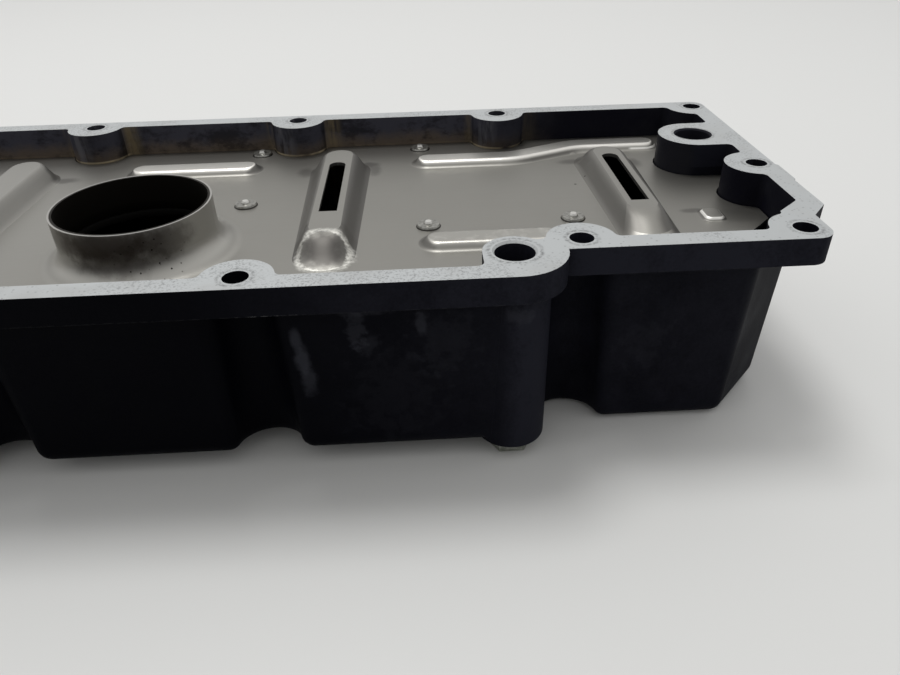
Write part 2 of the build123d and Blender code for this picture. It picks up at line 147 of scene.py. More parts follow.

# colours of the marks, painted highlights and painted shade on the sheet and its collar
CLOUDED_SHEET = (0.290, 0.282, 0.259)
LEFT_SHEET = (0.36, 0.352, 0.33)
# painted shade on the hood flanks
HOOD_FLANK_SHADE = (0.125, 0.12, 0.112)
FAR_SHEET = (0.20, 0.19, 0.175)
# painted highlights on the bead crests, near and far
NEAR_BEAD_HIGHLIGHT = (0.62, 0.605, 0.56)
FAR_BEAD_HIGHLIGHT = (0.82, 0.80, 0.75)
# colour of the dark patches and painted dark reflections on the sheet
SMUDGE_AND_REFLECTION_SHEET = (0.10, 0.095, 0.088)
# painted shade, painted highlight and painted dark reflection on the hood's near toe
TOE_SKIRT_SHADE = (0.12, 0.115, 0.105)
TOE_RING_HIGHLIGHT = (0.70, 0.69, 0.64)
TOE_MIDDLE_REFLECTION = (0.085, 0.08, 0.075)
# painted highlight on the dimple's lip
DIMPLE_LIP_HIGHLIGHT = (0.75, 0.74, 0.70)
COLLAR_WALL = (0.44, 0.43, 0.40)
# painted light on the collar's foot and a painted highlight on its rim
COLLAR_FOOT_LIGHT = (0.50, 0.49, 0.46)
COLLAR_RIM_HIGHLIGHT = (0.40, 0.39, 0.37)
# painted shade inside the collar's bore
COLLAR_THROAT_SHADE = (0.018, 0.016, 0.013)
OIL_DOT = (0.03, 0.026, 0.022)

# colours of the small pieces, with a painted shadow and highlight on the rivets
RIVET_HEAD = (0.34, 0.335, 0.31)
RIVET_MARK = (0.20, 0.195, 0.18)
RIVET_FOOT_SHADOW = (0.05, 0.047, 0.043)
RIVET_DOME_HIGHLIGHT = (0.62, 0.61, 0.58)
ZINC_MARK = (0.20, 0.21, 0.18)
COPPER_MARK = (0.30, 0.15, 0.09)

# the stage
LAMP_SIZE = 0.55
LAMP_PLACE = (-0.15, 0.42, 1.64)
LAMP_TARGET = (0.0, 0.0, 0.0)
SEEN_SKY = (1.0, 1.0, 0.98)
SEEN_SKY_STRENGTH = 0.8
BRIGHT_SKY_SIDE = (0.0, 0.80, 0.60)
DIM_SKY_SHARE = 0.48
PICTURE_WIDTH = 36.0  # of the camera's sensor, in millimetres
CAMERA_NEAR_LIMIT = 0.01


# sizes and colours that a user would change


class PanFinish(bpy.types.PropertyGroup):
    """Colours and wear of the pan's pieces."""

    coating_colour: bpy.props.FloatVectorProperty(
        name="Coating",
        description="Colour of the black coating on the casting",
        default=(0.0006, 0.0007, 0.0018),
        subtype="COLOR",
    )
    # also the colour of the painted light on the columns and towards the ends
    coating_grey: bpy.props.FloatVectorProperty(
        name="Rubbed coating",
        description="Colour of the coating where it is rubbed or dusty",
        default=(0.0145, 0.0150, 0.0215),
        subtype="COLOR",
    )
    machined_colour: bpy.props.FloatVectorProperty(
        name="Machined face",
        description="Colour of the bare gasket face",
        default=(0.475, 0.490, 0.492),
        subtype="COLOR",
    )
    scuff_colour: bpy.props.FloatVectorProperty(
        name="Scuffs",
        description="Colour of the patches that are rubbed pale",
        default=(0.055, 0.057, 0.070),
        subtype="COLOR",
    )
    wall_colour: bpy.props.FloatVectorProperty(
        name="Inner wall",
        description="Colour of the inner walls above the burnt oil",
        default=(0.050, 0.050, 0.064),
        subtype="COLOR",
    )
    varnish_colour: bpy.props.FloatVectorProperty(
        name="Varnish",
        description="Colour of the burnt oil low on the inner walls",
        default=(0.100, 0.079, 0.062),
        subtype="COLOR",
    )
    sheet_colour: bpy.props.FloatVectorProperty(
        name="Sheet",
        description="Colour of the baffle's steel sheet",
        default=(0.256, 0.249, 0.227),
        subtype="COLOR",
    )
    # the collar's stain colour also carries painted dark reflection
    stain_colour: bpy.props.FloatVectorProperty(
        name="Collar stain",
        description="Colour of the burnt patch on the collar",
        default=(0.064, 0.050, 0.039),
        subtype="COLOR",
    )
    plug_colour: bpy.props.FloatVectorProperty(
        name="Plugs",
        description="Colour of the dull zinc on the plugs",
        default=(0.38, 0.39, 0.35),
        subtype="COLOR",
    )
    copper_colour: bpy.props.FloatVectorProperty(
        name="Washer",
        description="Colour of the copper washer",
        default=(0.60, 0.30, 0.18),
        subtype="COLOR",
    )
    edge_wear: bpy.props.FloatProperty(
        name="Edge wear",
        description="How much of the coating is rubbed off the edges",
        default=0.5,
        min=0.0,
        max=1.0,
        subtype="FACTOR",
    )


class PanStage(bpy.types.PropertyGroup):
    """The floor, lamp, sky and camera."""

    floor_colour: bpy.props.FloatVectorProperty(
        name="Floor",
        description="Colour of the floor",
        default=(0.69, 0.69, 0.675),
        subtype="COLOR",
    )
    floor_size: bpy.props.FloatProperty(
        name="Floor size",
        description="Width of the square floor",
        default=8.0,
        unit="LENGTH",
    )
    sky_strength: bpy.props.FloatProperty(
        name="Sky",
        description="Strength of the soft light from all round",
        default=0.76,
        min=0.0,
    )
    window_power: bpy.props.FloatProperty(
        name="Window lamp",
        description="Power of the large lamp above and behind the pan",
        default=12.0,
        unit="POWER",
    )
    camera_place: bpy.props.FloatVectorProperty(
        name="Camera",
        description="Where the camera stands",
        default=(0.087, -0.227, 0.15187),
        subtype="XYZ",
        unit="LENGTH",
    )
    camera_turn: bpy.props.FloatVectorProperty(
        name="Camera turn",
        description="The camera's tilt, roll and swing",
        default=(radians(56.389), radians(1.156), radians(-3.096)),
        subtype="EULER",
        unit="ROTATION",
    )
    camera_lens: bpy.props.FloatProperty(
        name="Lens",
        description="Focal length for a picture 36 mm wide",
        default=28.823,
        unit="CAMERA",
    )


# small helpers for node trees


def add_node(tree, kind, inputs=None, **settings):
    """Adds a node, with each input linked to a socket or set to a value."""
    node = tree.nodes.new(kind)
    for name, value in settings.items():
        setattr(node, name, value)
    for name, value in (inputs or {}).items():
        if isinstance(value, bpy.types.NodeSocket):
            tree.links.new(value, node.inputs[name])
        else:
            node.inputs[name].default_value = value
    return node


def compute(tree, operation, first, second=0.0):
    """One step of arithmetic on two values."""
    node = add_node(tree, "ShaderNodeMath", {0: first, 1: second}, operation=operation)
    return node.outputs[0]


def both(tree, *masks):
    """The product of several masks or values."""
    result = masks[0]
    for mask in masks[1:]:
        result = compute(tree, "MULTIPLY", result, mask)
    return result


def without(tree, mask):
    """The mask turned round, 1 where it was 0."""
    return compute(tree, "SUBTRACT", 1.0, mask)


def rise(tree, value, low, high):
    """A mask that climbs smoothly from 0 at low to 1 at high."""
    node = add_node(
        tree,
        "ShaderNodeMapRange",
        {"Value": value, "From Min": low, "From Max": high},
        interpolation_type="SMOOTHSTEP",
    )
    return node.outputs["Result"]


def fall(tree, value, low, high):
    """A mask that drops smoothly from 1 at low to 0 at high."""
    node = add_node(
        tree,
        "ShaderNodeMapRange",
        {"Value": value, "From Min": low, "From Max": high, "To Min": 1.0, "To Max": 0.0},
        interpolation_type="SMOOTHSTEP",
    )
    return node.outputs["Result"]


def rise_mm(tree, value, low, high):
    """A mask that climbs between two lengths in millimetres."""
    return rise(tree, value, low * MM, high * MM)


def fall_mm(tree, value, low, high):
    """A mask that drops between two lengths in millimetres."""
    return fall(tree, value, low * MM, high * MM)


def band_mm(tree, value, climb, drop):
    """A mask that climbs over one pair of lengths and drops over the next, in millimetres."""
    return both(tree, rise_mm(tree, value, *climb), fall_mm(tree, value, *drop))


def above(tree, height, level, low, high):
    """A mask that climbs between two heights given in millimetres over a level."""
    return rise(tree, height, level + low * MM, level + high * MM)


def below(tree, height, level, low, high):
    """A mask that drops between two heights given in millimetres over a level."""
    return fall(tree, height, level + low * MM, level + high * MM)


def band_above(tree, height, level, climb, drop):
    """A mask that climbs and drops over heights given in millimetres over a level."""
    return both(tree, above(tree, height, level, *climb), below(tree, height, level, *drop))


def rgba(colour):
    """A plain colour with full alpha; a socket stays as it is."""
    return colour if isinstance(colour, bpy.types.NodeSocket) else (*colour, 1.0)


def blend(tree, mask, under, over):
    """One colour over another, by a mask."""
    inputs = {0: mask, 6: rgba(under), 7: rgba(over)}
    return add_node(tree, "ShaderNodeMix", inputs, data_type="RGBA").outputs[2]


def slide(tree, mask, under, over):
    """One value to another, by a mask."""
    return add_node(tree, "ShaderNodeMix", {0: mask, 2: under, 3: over}).outputs[0]


def noise(tree, place, scale, detail, roughness):
    """Smooth noise from 0 to 1; the detail is how many finer layers it has."""
    node = add_node(
        tree,
        "ShaderNodeTexNoise",
        {"Vector": place, "Scale": scale, "Detail": detail, "Roughness": roughness},
    )
    return node.outputs["Fac"]


def stretched(tree, place, scale):
    """A place stretched along its axes, for grain and streaks."""
    return add_node(tree, "ShaderNodeMapping", {"Vector": place, "Scale": scale}).outputs[0]


def streaked_noise(tree, place, scale, detail, roughness):
    """Noise drawn out along the axes."""
    return noise(tree, stretched(tree, place, scale), 1.0, detail, roughness)


def combine(tree, operation, first, second):
    """Arithmetic on two vectors."""
    node = add_node(tree, "ShaderNodeVectorMath", {0: first, 1: second}, operation=operation)
    return node.outputs["Vector"]


def length(tree, vector):
    """How long a vector is."""
    return add_node(tree, "ShaderNodeVectorMath", {0: vector}, operation="LENGTH").outputs["Value"]


def plan_distance(tree, place, centre):
    """Distance from an upright axis, whose place is in millimetres."""
    from_centre = combine(tree, "SUBTRACT", place, (*scaled(centre), 0.0))
    return length(tree, combine(tree, "MULTIPLY", from_centre, (1.0, 1.0, 0.0)))


def outward(tree, normal, value, reach):
    """One part of the normal where it points out of the pan, counted only near the pan's edge."""
    share = compute(tree, "ABSOLUTE", compute(tree, "DIVIDE", value, reach))
    steep = compute(tree, "POWER", share, 8.0)
    return both(tree, normal, compute(tree, "SIGN", value), steep)


def scaled(place):
    """A place or size given in millimetres."""
    return tuple(value * MM for value in place)


def twins(*places):
    """Each place in the plan with its twin at the left end."""
    return [twin for x, y in places for twin in ((x, y), (-x, y))]


# shared effects, each built once as a node group


def new_group(name, inputs, outputs):
    """An empty shader group with vector and value sockets, and the sockets of its two end nodes."""
    group = bpy.data.node_groups.new(name, "ShaderNodeTree")
    for socket, default in inputs.items():
        kind = "NodeSocketVector" if default is None else "NodeSocketFloat"
        made = group.interface.new_socket(socket, in_out="INPUT", socket_type=kind)
        if default is not None:
            made.default_value = default
    for socket in outputs:
        group.interface.new_socket(socket, in_out="OUTPUT", socket_type="NodeSocketFloat")
    start = group.nodes.new("NodeGroupInput")
    end = group.nodes.new("NodeGroupOutput")
    return group, start.outputs, end.inputs


def build_cast_grain(name):
    """Fine pitted grain of a coated casting, with a slow mottle over it."""
    group, given, result = new_group(name, {"Place": None, "Size": 0.0012}, ("Height", "Mottle"))
    place = given["Place"]
    fine_scale = compute(group, "DIVIDE", 1.0, given["Size"])
    fine = noise(group, place, fine_scale, 4.0, 0.6)
    cells = {"Vector": place, "Scale": both(group, fine_scale, 0.6)}
    pits = add_node(group, "ShaderNodeTexVoronoi", cells).outputs["Distance"]
    shallow = rise(group, pits, 0.0, 0.35)
    height = compute(group, "ADD", fine, both(group, shallow, 0.5))
    group.links.new(height, result["Height"])
    slow = noise(group, place, both(group, fine_scale, 0.03), 5.0, 0.6)
    group.links.new(rise(group, slow, 0.35, 0.7), result["Mottle"])
    return group


def build_edge_wear(name):
    """A mask of sharp edges, where a rounded normal leaves the true one."""
    defaults = {"Place": None, "Width": 0.0006, "Amount": 0.5}
    group, given, result = new_group(name, defaults, ("Mask",))
    rounded = add_node(group, "ShaderNodeBevel", {"Radius": given["Width"]}, samples=4)
    true = add_node(group, "ShaderNodeNewGeometry")
    facing = add_node(
        group,
        "ShaderNodeVectorMath",
        {0: rounded.outputs["Normal"], 1: true.outputs["Normal"]},
        operation="DOT_PRODUCT",
    ).outputs["Value"]
    edge = fall(group, facing, 0.80, 0.985)
    patchy = rise(group, noise(group, given["Place"], 420.0, 4.0, 0.65), 0.42, 0.62)
    group.links.new(both(group, edge, patchy, given["Amount"]), result["Mask"])
    return group


def build_oil_varnish(name):
    """Streaks and runs of burnt oil, thick at the bottom of a band and gone at its top."""
    defaults = {"Place": None, "Height": 0.0, "Low": 0.0, "High": 0.01}
    group, given, result = new_group(name, defaults, ("Mask",))
    place = given["Place"]
    band = {"Value": given["Height"], "From Min": given["Low"], "From Max": given["High"]}
    low_down = add_node(group, "ShaderNodeMapRange", {**band, "To Min": 1.0, "To Max": 0.0})
    runs = streaked_noise(group, place, (90.0, 90.0, 25.0), 4.0, 0.6)
    fine = noise(group, place, 700.0, 3.0, 0.6)
    uneven = compute(group, "ADD", both(group, runs, 0.7), both(group, fine, 0.3))
    thick = compute(group, "ADD", low_down.outputs["Result"], uneven)
    group.links.new(rise(group, thick, 0.70, 1.45), result["Mask"])
    return group


def build_fine_scratches(name):
    """Hair scratches and rub marks on bare metal, as a height and a mask."""
    group, given, result = new_group(name, {"Place": None, "Scale": 1.0}, ("Height", "Mask"))
    place = add_node(
        group,
        "ShaderNodeVectorMath",
        {0: given["Place"], "Scale": given["Scale"]},
        operation="SCALE",
    ).outputs["Vector"]
    along = streaked_noise(group, place, (60.0, 4200.0, 60.0), 2.0, 0.5)
    across = streaked_noise(group, place, (3600.0, 90.0, 90.0), 2.0, 0.5)
    rubbed = rise(group, noise(group, place, 55.0, 4.0, 0.6), 0.45, 0.7)
    group.links.new(compute(group, "ADD", along, both(group, across, 0.35)), result["Height"])
    group.links.new(rubbed, result["Mask"])
    return group


def build_smudge(name):
    """One soft rubbed patch, its edges ragged by a torn value from outside."""
    defaults = {"Place": None, "Centre": None, "Size": None, "Torn": 0.0, "Ragged": 0.5}
    group, given, result = new_group(name, defaults, ("Mask",))
    offset = combine(group, "SUBTRACT", given["Place"], given["Centre"])
    share = length(group, combine(group, "DIVIDE", offset, given["Size"]))
    reach = compute(group, "ADD", share, both(group, given["Torn"], given["Ragged"]))
    group.links.new(fall(group, reach, 0.35, 1.05), result["Mask"])
    return group


def build_hole_rings(name):
    """Dark dotted rings that the gasket has pressed round the holes of the flange."""
    group, given, result = new_group(name, {"Place": None, "Offset": 0.0016}, ("Mask",))
    place = given["Place"]
    holes = [(centre, BOLT_RADIUS) for centre in (*NEAR_BOLTS, *twins(*TWIN_BOLTS))]
    holes += [(centre, STUD_CHAMFER_RADIUS) for centre in twins(STUD)]
    holes += [(centre, PASSAGE_CHAMFER_RADIUS) for centre in twins(PASSAGE)]
    nearest = None
    for centre, radius in holes:
        beyond = compute(group, "SUBTRACT", plan_distance(group, place, centre), radius * MM)
        nearest = beyond if nearest is None else compute(group, "MINIMUM", nearest, beyond)
    wander = compute(group, "SUBTRACT", noise(group, place, 400.0, 3.0, 0.6), 0.5)
    shifted = compute(group, "ADD", nearest, both(group, wander, 0.0012))
    from_ring = compute(group, "ABSOLUTE", compute(group, "SUBTRACT", shifted, given["Offset"]))
    line = fall(group, from_ring, 0.0001, 0.0008)
    dotted = rise(group, noise(group, place, 900.0, 4.0, 0.65), 0.36, 0.66)
    group.links.new(both(group, line, dotted), result["Mask"])
    return group


def build_boss_streaks(name):
    """Upright streaks of dried oil beside each boss of the far wall, and on the boss paler streaks that
    are painted reflections.
    """
    group, given, result = new_group(name, {"Place": None}, ("Beside", "Upon", "Foot"))
    x, y, _ = add_node(group, "ShaderNodeSeparateXYZ", {0: given["Place"]}).outputs
    share = compute(group, "FRACT", compute(group, "DIVIDE", x, BOSS_SPACING * MM))
    offset = both(group, compute(group, "SUBTRACT", share, 0.5), BOSS_SPACING * MM)
    far_side = rise_mm(group, y, 30.0, 40.0)
    streaks = streaked_noise(group, given["Place"], (330.0, 330.0, 45.0), 4.0, 0.65)
    right = band_mm(group, offset, *RIGHT_OF_BOSS)
    left = band_mm(group, offset, *LEFT_OF_BOSS)
    beside = compute(group, "ADD", right, both(group, left, 0.5))
    beside = both(group, beside, rise(group, streaks, 0.30, 0.62), far_side)
    group.links.new(beside, result["Beside"])
    from_middle = compute(group, "ABSOLUTE", compute(group, "ADD", offset, 4.5 * MM))
    upon = fall_mm(group, from_middle, 0.5, 6.0)
    upon = both(group, upon, rise(group, streaks, 0.40, 0.60), far_side)
    group.links.new(upon, result["Upon"])
    foot = fall_mm(group, compute(group, "ABSOLUTE", offset), 9.0, 12.0)
    group.links.new(both(group, foot, far_side), result["Foot"])
    return group


def build_specks(name):
    """Scattered dark dots."""
    defaults = {"Place": None, "Scale": 700.0, "Share": 0.2, "Size": 0.25}
    group, given, result = new_group(name, defaults, ("Mask",))
    spread = {"Vector": given["Place"], "Scale": given["Scale"]}
    cells = add_node(group, "ShaderNodeTexVoronoi", spread).outputs
    chance = add_node(group, "ShaderNodeSeparateXYZ", {0: cells["Color"]}).outputs[0]
    chosen = compute(group, "LESS_THAN", chance, given["Share"])
    dot = fall(group, compute(group, "DIVIDE", cells["Distance"], given["Size"]), 0.6, 1.0)
    group.links.new(both(group, dot, chosen), result["Mask"])
    return group


EFFECTS = {
    "Cast grain": build_cast_grain,
    "Edge wear": build_edge_wear,
    "Oil varnish": build_oil_varnish,
    "Fine scratches": build_fine_scratches,
    "Smudge": build_smudge,
    "Hole rings": build_hole_rings,
    "Boss streaks": build_boss_streaks,
    "Specks": build_specks,
}


def effect(tree, name, **inputs):
    """Places a shared group with its own values; the group is built at its first use."""
    group = bpy.data.node_groups.get(name) or EFFECTS[name](name)
    return add_node(tree, "ShaderNodeGroup", inputs, node_tree=group).outputs


def torn_value(tree, place):
    """Noise from about -1 to 1 that tears the edges of smudges."""
    return both(tree, compute(tree, "SUBTRACT", noise(tree, place, 240.0, 5.0, 0.6), 0.5), 2.4)


def smudge(tree, place, torn, patch):
    """The mask of one patch, given as centre, size, raggedness and strength."""
    centre, size, ragged, strength = patch
    given = {"Centre": scaled(centre), "Size": scaled(size), "Torn": torn, "Ragged": ragged}
    return both(tree, effect(tree, "Smudge", Place=place, **given)["Mask"], strength)


def new_material(name):
    """A material with nothing in it but a Principled shader and its output."""
    material = bpy.data.materials.new(name)
    material.use_nodes = True
    tree = material.node_tree
    tree.nodes.clear()
    output = tree.nodes.new("ShaderNodeOutputMaterial")
    shader = tree.nodes.new("ShaderNodeBsdfPrincipled")
    tree.links.new(shader.outputs[0], output.inputs["Surface"])
    return material, tree, shader


def read_surface(tree):
    """Object coordinates with their parts, and the parts of the surface's own normal."""
    where = tree.nodes.new("ShaderNodeTexCoord").outputs
    x, y, z = add_node(tree, "ShaderNodeSeparateXYZ", {0: where["Object"]}).outputs
    facing = add_node(tree, "ShaderNodeSeparateXYZ", {0: where["Normal"]}).outputs
    return SimpleNamespace(
        place=where["Object"],
        x=x,
        y=y,
        z=z,
        normal_x=facing[0],
        normal_y=facing[1],
        normal_z=facing[2],
    )


def add_relief(tree, shader, height, distance, strength):
    """Fine relief on the surface."""
    relief = {"Height": height, "Distance": distance, "Strength": strength}
    bump = add_node(tree, "ShaderNodeBump", relief)
    tree.links.new(bump.outputs["Normal"], shader.inputs["Normal"])


def dress(node, material):
    """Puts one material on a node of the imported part."""
    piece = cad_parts[node]
    piece.data.materials.clear()
    piece.data.materials.append(material)


# materials


def casting_zones(tree, at):
    """Masks of the machined faces, of the inside of the mouth and of the flange."""
    at.along = compute(tree, "ABSOLUTE", at.x)
    at.mirrored = add_node(tree, "ShaderNodeCombineXYZ", {0: at.along, 1: at.y, 2: at.z}).outputs[0]
    from_stud = plan_distance(tree, at.mirrored, STUD)
    sloping = fall(tree, at.normal_z, 0.8, 0.95)
    near_stud = fall_mm(tree, from_stud, STUD_RIM_RADIUS, STUD_RIM_RADIUS + 0.2)
    stud_rim = both(tree, near_stud, sloping)
    by_the_top = above(tree, at.z, FLANGE_TOP, *BARE_LAND)
    upward = rise(tree, at.normal_z, 0.35, 0.6)
    machined = both(tree, by_the_top, upward, without(tree, stud_rim))
    to_the_ends = outward(tree, at.normal_x, at.x, PAN_REACH.x)
    to_the_sides = outward(tree, at.normal_y, at.y, PAN_REACH.y)
    inside = fall(tree, compute(tree, "ADD", to_the_ends, to_the_sides), -0.16, -0.06)
    on_flange = above(tree, at.z, FLANGE_UNDER, -0.3, 0.3)
    return machined, inside, on_flange


def outer_coat(tree, at, finish, mottle, on_flange):
    """The coating outside, lighter towards the ends and on the columns, as dust and as painted light,
    with rubbed patches.
    """
    from_passage = plan_distance(tree, at.mirrored, PASSAGE)
    under_flange = fall(tree, on_flange, 0.4, 0.6)
    dust_and_light_wall = both(tree, rise_mm(tree, at.along, *DUST_AND_LIGHT_WALL), 0.45)
    dust_and_light = slide(tree, on_flange, dust_and_light_wall, rise_mm(tree, at.along, *DUST_AND_LIGHT_FLANGE))
    round_column = fall_mm(tree, from_passage, COLUMN_RADIUS, COLUMN_RADIUS + 0.04)
    column = both(tree, round_column, under_flange)
    # the columns are painted lighter on their outward side, where light falls on them
    outer_side = rise(tree, both(tree, at.normal_x, compute(tree, "SIGN", at.x)), -0.7, 0.5)
    on_column = both(tree, column, slide(tree, outer_side, 0.20, 1.25))
    dust_and_light = compute(tree, "MAXIMUM", dust_and_light, on_column)
    patchy = streaked_noise(tree, at.place, (210.0, 210.0, 120.0), 6.0, 0.7)
    fine = noise(tree, at.place, 900.0, 2.0, 0.7)
    uneven = compute(tree, "ADD", both(tree, mottle, 0.5), patchy)
    uneven = compute(tree, "ADD", both(tree, fine, 0.8), uneven)
    uneven = compute(tree, "SUBTRACT", uneven, 0.2)
    coat = blend(tree, both(tree, dust_and_light, uneven), finish.coating_colour, finish.coating_grey)

    torn = torn_value(tree, at.place)
    for patch in SCUFFS:
        coat = blend(tree, smudge(tree, at.place, torn, patch), coat, finish.scuff_colour)

    # edges are bare, and not in the column's seam; one stretch of the flange's lower edge is painted
    # brighter as a highlight
    wear = effect(tree, "Edge wear", Place=at.place, Width=0.0005, Amount=finish.edge_wear)["Mask"]
    highlight_stretch = compute(tree, "MAXIMUM", smudge(tree, at.place, torn, FLANGE_EDGE_HIGHLIGHT), 0.12)
    seam = both(tree, fall_mm(tree, from_passage, *COLUMN_SEAM), under_flange)
    return blend(tree, both(tree, wear, highlight_stretch, without(tree, seam)), coat, BARE_METAL)


def inner_wall(tree, at, finish, mottle, burnt):
    """Inner walls, dark grey above and brown with burnt oil low down, and near black at the ends."""
    wall = blend(tree, burnt, finish.wall_colour, finish.varnish_colour)
    soot = streaked_noise(tree, at.place, (70.0, 70.0, 110.0), 5.0, 0.65)
    wall = blend(tree, both(tree, rise(tree, soot, 0.46, 0.62), 0.65), wall, SOOT)
    streaks = effect(tree, "Boss streaks", Place=at.place)
    wall = blend(tree, both(tree, streaks["Beside"], 0.65), wall, DRIED_OIL)
    # pale upright streaks on each boss are painted reflections
    wall = blend(tree, both(tree, streaks["Upon"], 0.55), wall, BOSS_REFLECTION_STREAK)

    # oil has pooled along the edge of the sheet, its thin broken line painted bright and golden as a
    # highlight
    pooled_glint = both(
        tree,
        band_above(tree, at.z, SHEET_TOP, *POOLED_OIL_LINE),
        rise(tree, noise(tree, at.place, 120.0, 2.0, 0.5), 0.30, 0.55),
        compute(tree, "MAXIMUM", both(tree, streaks["Foot"], 0.6), 0.05),
    )
    wall = blend(tree, pooled_glint, wall, POOLED_OIL_GLINT)
    end_wall = blend(tree, mottle, END_WALL_DARK, END_WALL_PALE)
    return blend(tree, fall_mm(tree, at.along, *MOUTH_DARKENS), end_wall, wall)


def gasket_face(tree, at, finish, rubbed, pores):
    """The machined face, with rub marks, pores, a crazed print of the gasket and its rings."""
    face = blend(tree, both(tree, rubbed, 0.4), finish.machined_colour, RUBBED_FACE)
    face = blend(tree, both(tree, pores, 0.45), face, PORE)
    pressed_gasket = rise(tree, noise(tree, at.place, 38.0, 3.0, 0.6), 0.42, 0.58)
    crazed = rise(tree, noise(tree, at.place, 1500.0, 4.0, 0.7), 0.50, 0.62)
    face = blend(tree, both(tree, crazed, pressed_gasket, 0.8), face, CRAZED_FACE)
    rings = effect(tree, "Hole rings", Place=at.place, Offset=0.0011)["Mask"]
    return blend(tree, both(tree, rings, 0.70), face, GASKET_RING)


def coated_casting(finish):
    """Black coated casting, machined bare on its gasket face and on the chamfers of its bores."""
    material, tree, shader = new_material("Black coated casting")
    at = read_surface(tree)
    machined, inside, on_flange = casting_zones(tree, at)
    grain = effect(tree, "Cast grain", Place=at.place, Size=0.0011)
    scratches = effect(tree, "Fine scratches", Place=at.place, Scale=1.0)
    pores = effect(tree, "Specks", Place=at.place, Scale=1000.0, Share=0.22, Size=0.38)["Mask"]
    oil_band = {"Height": at.z, "Low": SHEET_TOP, "High": SHEET_TOP + 9.0 * MM}
    burnt = effect(tree, "Oil varnish", Place=at.place, **oil_band)["Mask"]

    coat = outer_coat(tree, at, finish, grain["Mottle"], on_flange)
    wall = inner_wall(tree, at, finish, grain["Mottle"], burnt)
    face = gasket_face(tree, at, finish, scratches["Mask"], pores)
    colour = blend(tree, machined, blend(tree, inside, coat, wall), face)
    tree.links.new(colour, shader.inputs["Base Color"])

    rough_coat = slide(tree, grain["Mottle"], 0.60, 0.48)
    rough_coat = slide(tree, both(tree, burnt, inside), rough_coat, 0.38)
    rough_face = slide(tree, scratches["Mask"], 0.50, 0.40)
    rough = slide(tree, machined, rough_coat, rough_face)
    tree.links.new(rough, shader.inputs["Roughness"])
    tree.links.new(slide(tree, machined, 0.0, 0.55), shader.inputs["Metallic"])
    shader.inputs["Specular IOR Level"].default_value = 0.03

    coat_height = both(tree, grain["Height"], fall(tree, machined, 0.4, 0.6))
    face_height = both(tree, scratches["Height"], machined, 0.10)
    face_height = compute(tree, "SUBTRACT", face_height, both(tree, pores, machined, 0.2))
    height = compute(tree, "ADD", coat_height, face_height)
    add_relief(tree, shader, height, 0.10 * MM, 0.6)
    return material


def pressed_marks(tree, at, finish, off_collar):
    """The sheet's own colour, with painted shade on the flanks of its pressed forms and its ends
    uneven.
    """
    cloud = noise(tree, at.place, 28.0, 4.0, 0.6)
    colour = blend(tree, cloud, finish.sheet_colour, CLOUDED_SHEET)
    colour = blend(tree, both(tree, fall_mm(tree, at.x, -60.0, -5.0), 0.6), colour, LEFT_SHEET)
    # the sloping flanks of the hoods are painted dark as shade, stronger right of the middle and on
    # flanks facing right
    right_part = slide(tree, rise_mm(tree, at.x, -30.0, -20.0), 0.30, 1.0)
    right_flank = slide(tree, rise(tree, at.normal_x, -0.05, 0.05), 0.70, 1.0)
    flank = both(tree, rise(tree, at.sideways, 0.05, 0.28), off_collar, right_part, right_flank)
    colour = blend(tree, both(tree, flank, 0.85), colour, HOOD_FLANK_SHADE)
    by_far_wall = rise_mm(tree, at.y, 40.0, 62.0)
    return blend(tree, both(tree, by_far_wall, 0.6), colour, FAR_SHEET), flank


def bead_crests(tree, at, from_toe, off_collar):
    """A mask of the beads' crests, which lie lower than the hoods."""
    return both(
        tree,
        band_above(tree, at.z, SHEET_TOP, *BEAD_CRESTS),
        off_collar,
        fall(tree, at.sideways, 0.25, 0.5),
        rise_mm(tree, from_toe, *OFF_TOE),
    )


def toe_marks(tree, at, colour, from_toe, off_collar):
    """The hood's near toe: a skirt painted dark as shade, a speckled ring painted bright as a
    highlight, and a dull middle painted dark as a reflection.
    """
    pressed_form = both(tree, fall(tree, at.normal_z, 0.95, 0.995), off_collar)
    # the toe's sloping skirt is painted dark as shade
    skirt = both(tree, band_mm(tree, from_toe, *SKIRT_RADII), pressed_form, 0.75)
    colour = blend(tree, skirt, colour, TOE_SKIRT_SHADE)
    speckled = rise(tree, noise(tree, at.place, 900.0, 3.0, 0.6), 0.30, 0.62)
    ring = band_mm(tree, from_toe, *RING_RADII)
    ring = both(tree, ring, slide(tree, speckled, 0.35, 1.0), 0.85)
    colour = blend(tree, ring, colour, TOE_RING_HIGHLIGHT)
    middle = fall_mm(tree, from_toe, *TOE_MIDDLE_RADII)
    return blend(tree, both(tree, middle, 0.85), colour, TOE_MIDDLE_REFLECTION), middle


def collar_marks(tree, at, finish, colour, radius, on_collar, torn):
    """The collar, stained dark on the side towards the near edge, partly a real stain and partly
    painted dark reflection, with painted light on its foot and a painted highlight on its rim.
    """
    drawn = both(tree, on_collar, fall_mm(tree, radius, *DRAWN_RADII))
    colour = blend(tree, drawn, colour, COLLAR_WALL)
    # brown stains, partly painted dark reflection
    for patch in COLLAR_STAINS_AND_REFLECTION:
        stain = both(tree, smudge(tree, at.place, torn, patch), on_collar)
        colour = blend(tree, stain, colour, finish.stain_colour)
    # the collar's foot is painted lighter as light, and its rim is painted bright as a highlight
    foot = band_mm(tree, radius, *FOOT_RADII)
    colour = blend(tree, both(tree, foot, 0.20), colour, COLLAR_FOOT_LIGHT)
    rim = both(tree, on_collar, above(tree, at.z, COLLAR_TOP, *COLLAR_RIM_HEIGHTS))
    return blend(tree, rim, colour, COLLAR_RIM_HIGHLIGHT)


